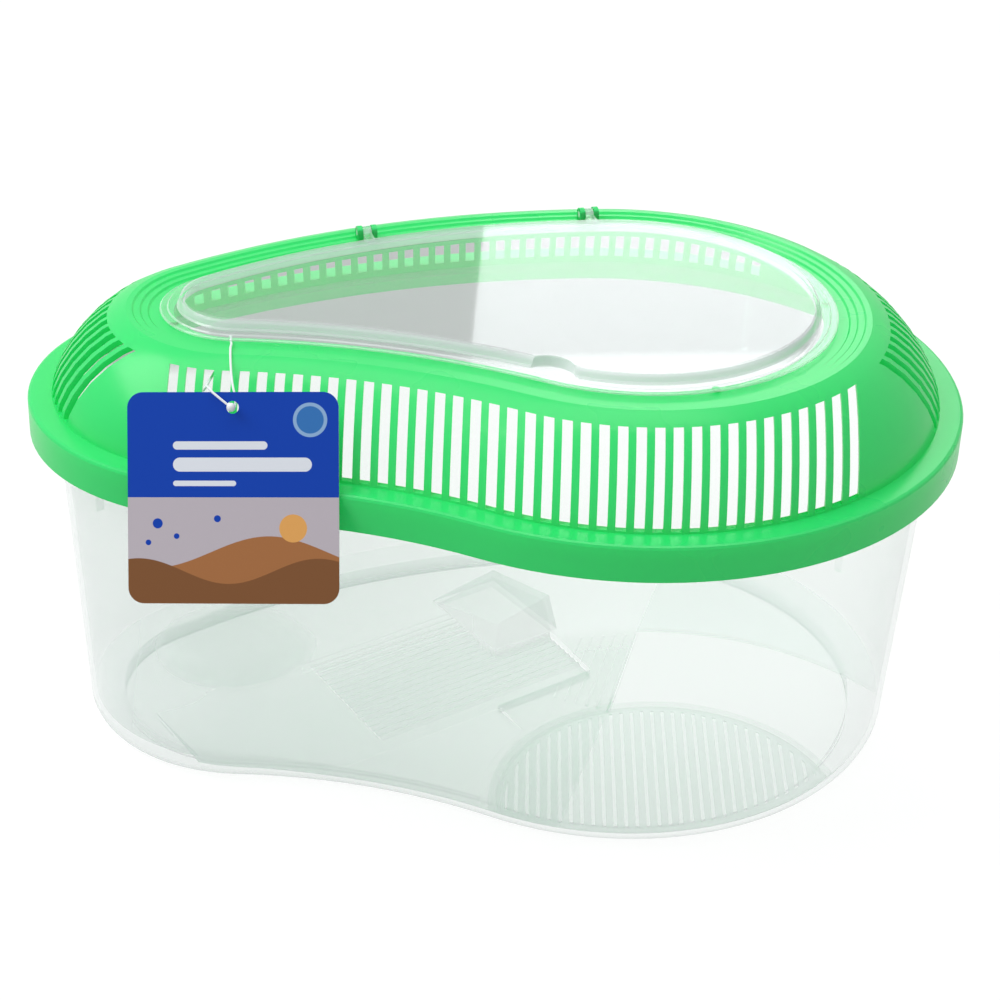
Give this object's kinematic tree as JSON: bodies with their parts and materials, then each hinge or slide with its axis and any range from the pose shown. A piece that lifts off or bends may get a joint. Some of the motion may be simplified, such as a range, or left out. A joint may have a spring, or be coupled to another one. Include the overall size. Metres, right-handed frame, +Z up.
{
  "type": "plastic pet keeper",
  "caption": "Clear gourd-shaped pet keeper with a moulded island floor, a lift-off vented dome lid, a clear flip-up hatch and a card tag on a loop.",
  "frame": {"origin": "centre of the base of the bounding box, on the surface the tub stands on", "axes": "+X along the length towards the wide lobe, +Y towards the hinged back, +Z up"},
  "size_m": [0.32, 0.23, 0.16],
  "materials": {
    "clear_tub": "clear moulded plastic with a faint teal tint",
    "green_lid": "glossy mint-green moulded plastic",
    "clear_hatch": "clear moulded plastic",
    "printed_card": "glossy printed card in blue and pale lilac",
    "white_nylon": "white nylon loop with a bead lock"
  },
  "bodies": {
    "tub": {"tank": "clear_tub"},
    "lid": {"lid": "green_lid", "tag_loop": "white_nylon"},
    "hatch": {"hatch": "clear_hatch"},
    "tag": {"hang_tag": "printed_card"}
  },
  "joints": [
    {"name": "lid_lift", "type": "slide", "parent": "tub", "child": "lid", "axis": [0, 0, 1], "range_m": [0, 0.06]},
    {"name": "hatch_flip", "type": "hinge", "parent": "lid", "child": "hatch", "pos_m": [-0.043, 0.05873, 0.1574], "axis": [-0.9832, -0.1823, 0], "range_deg": [0, 100]},
    {"name": "tag_swing", "type": "hinge", "parent": "lid", "child": "tag", "pos_m": [-0.09034, -0.06091, 0.1491], "axis": [-0.9816, 0.1908, 0], "range_deg": [0, 40]}
  ]
}
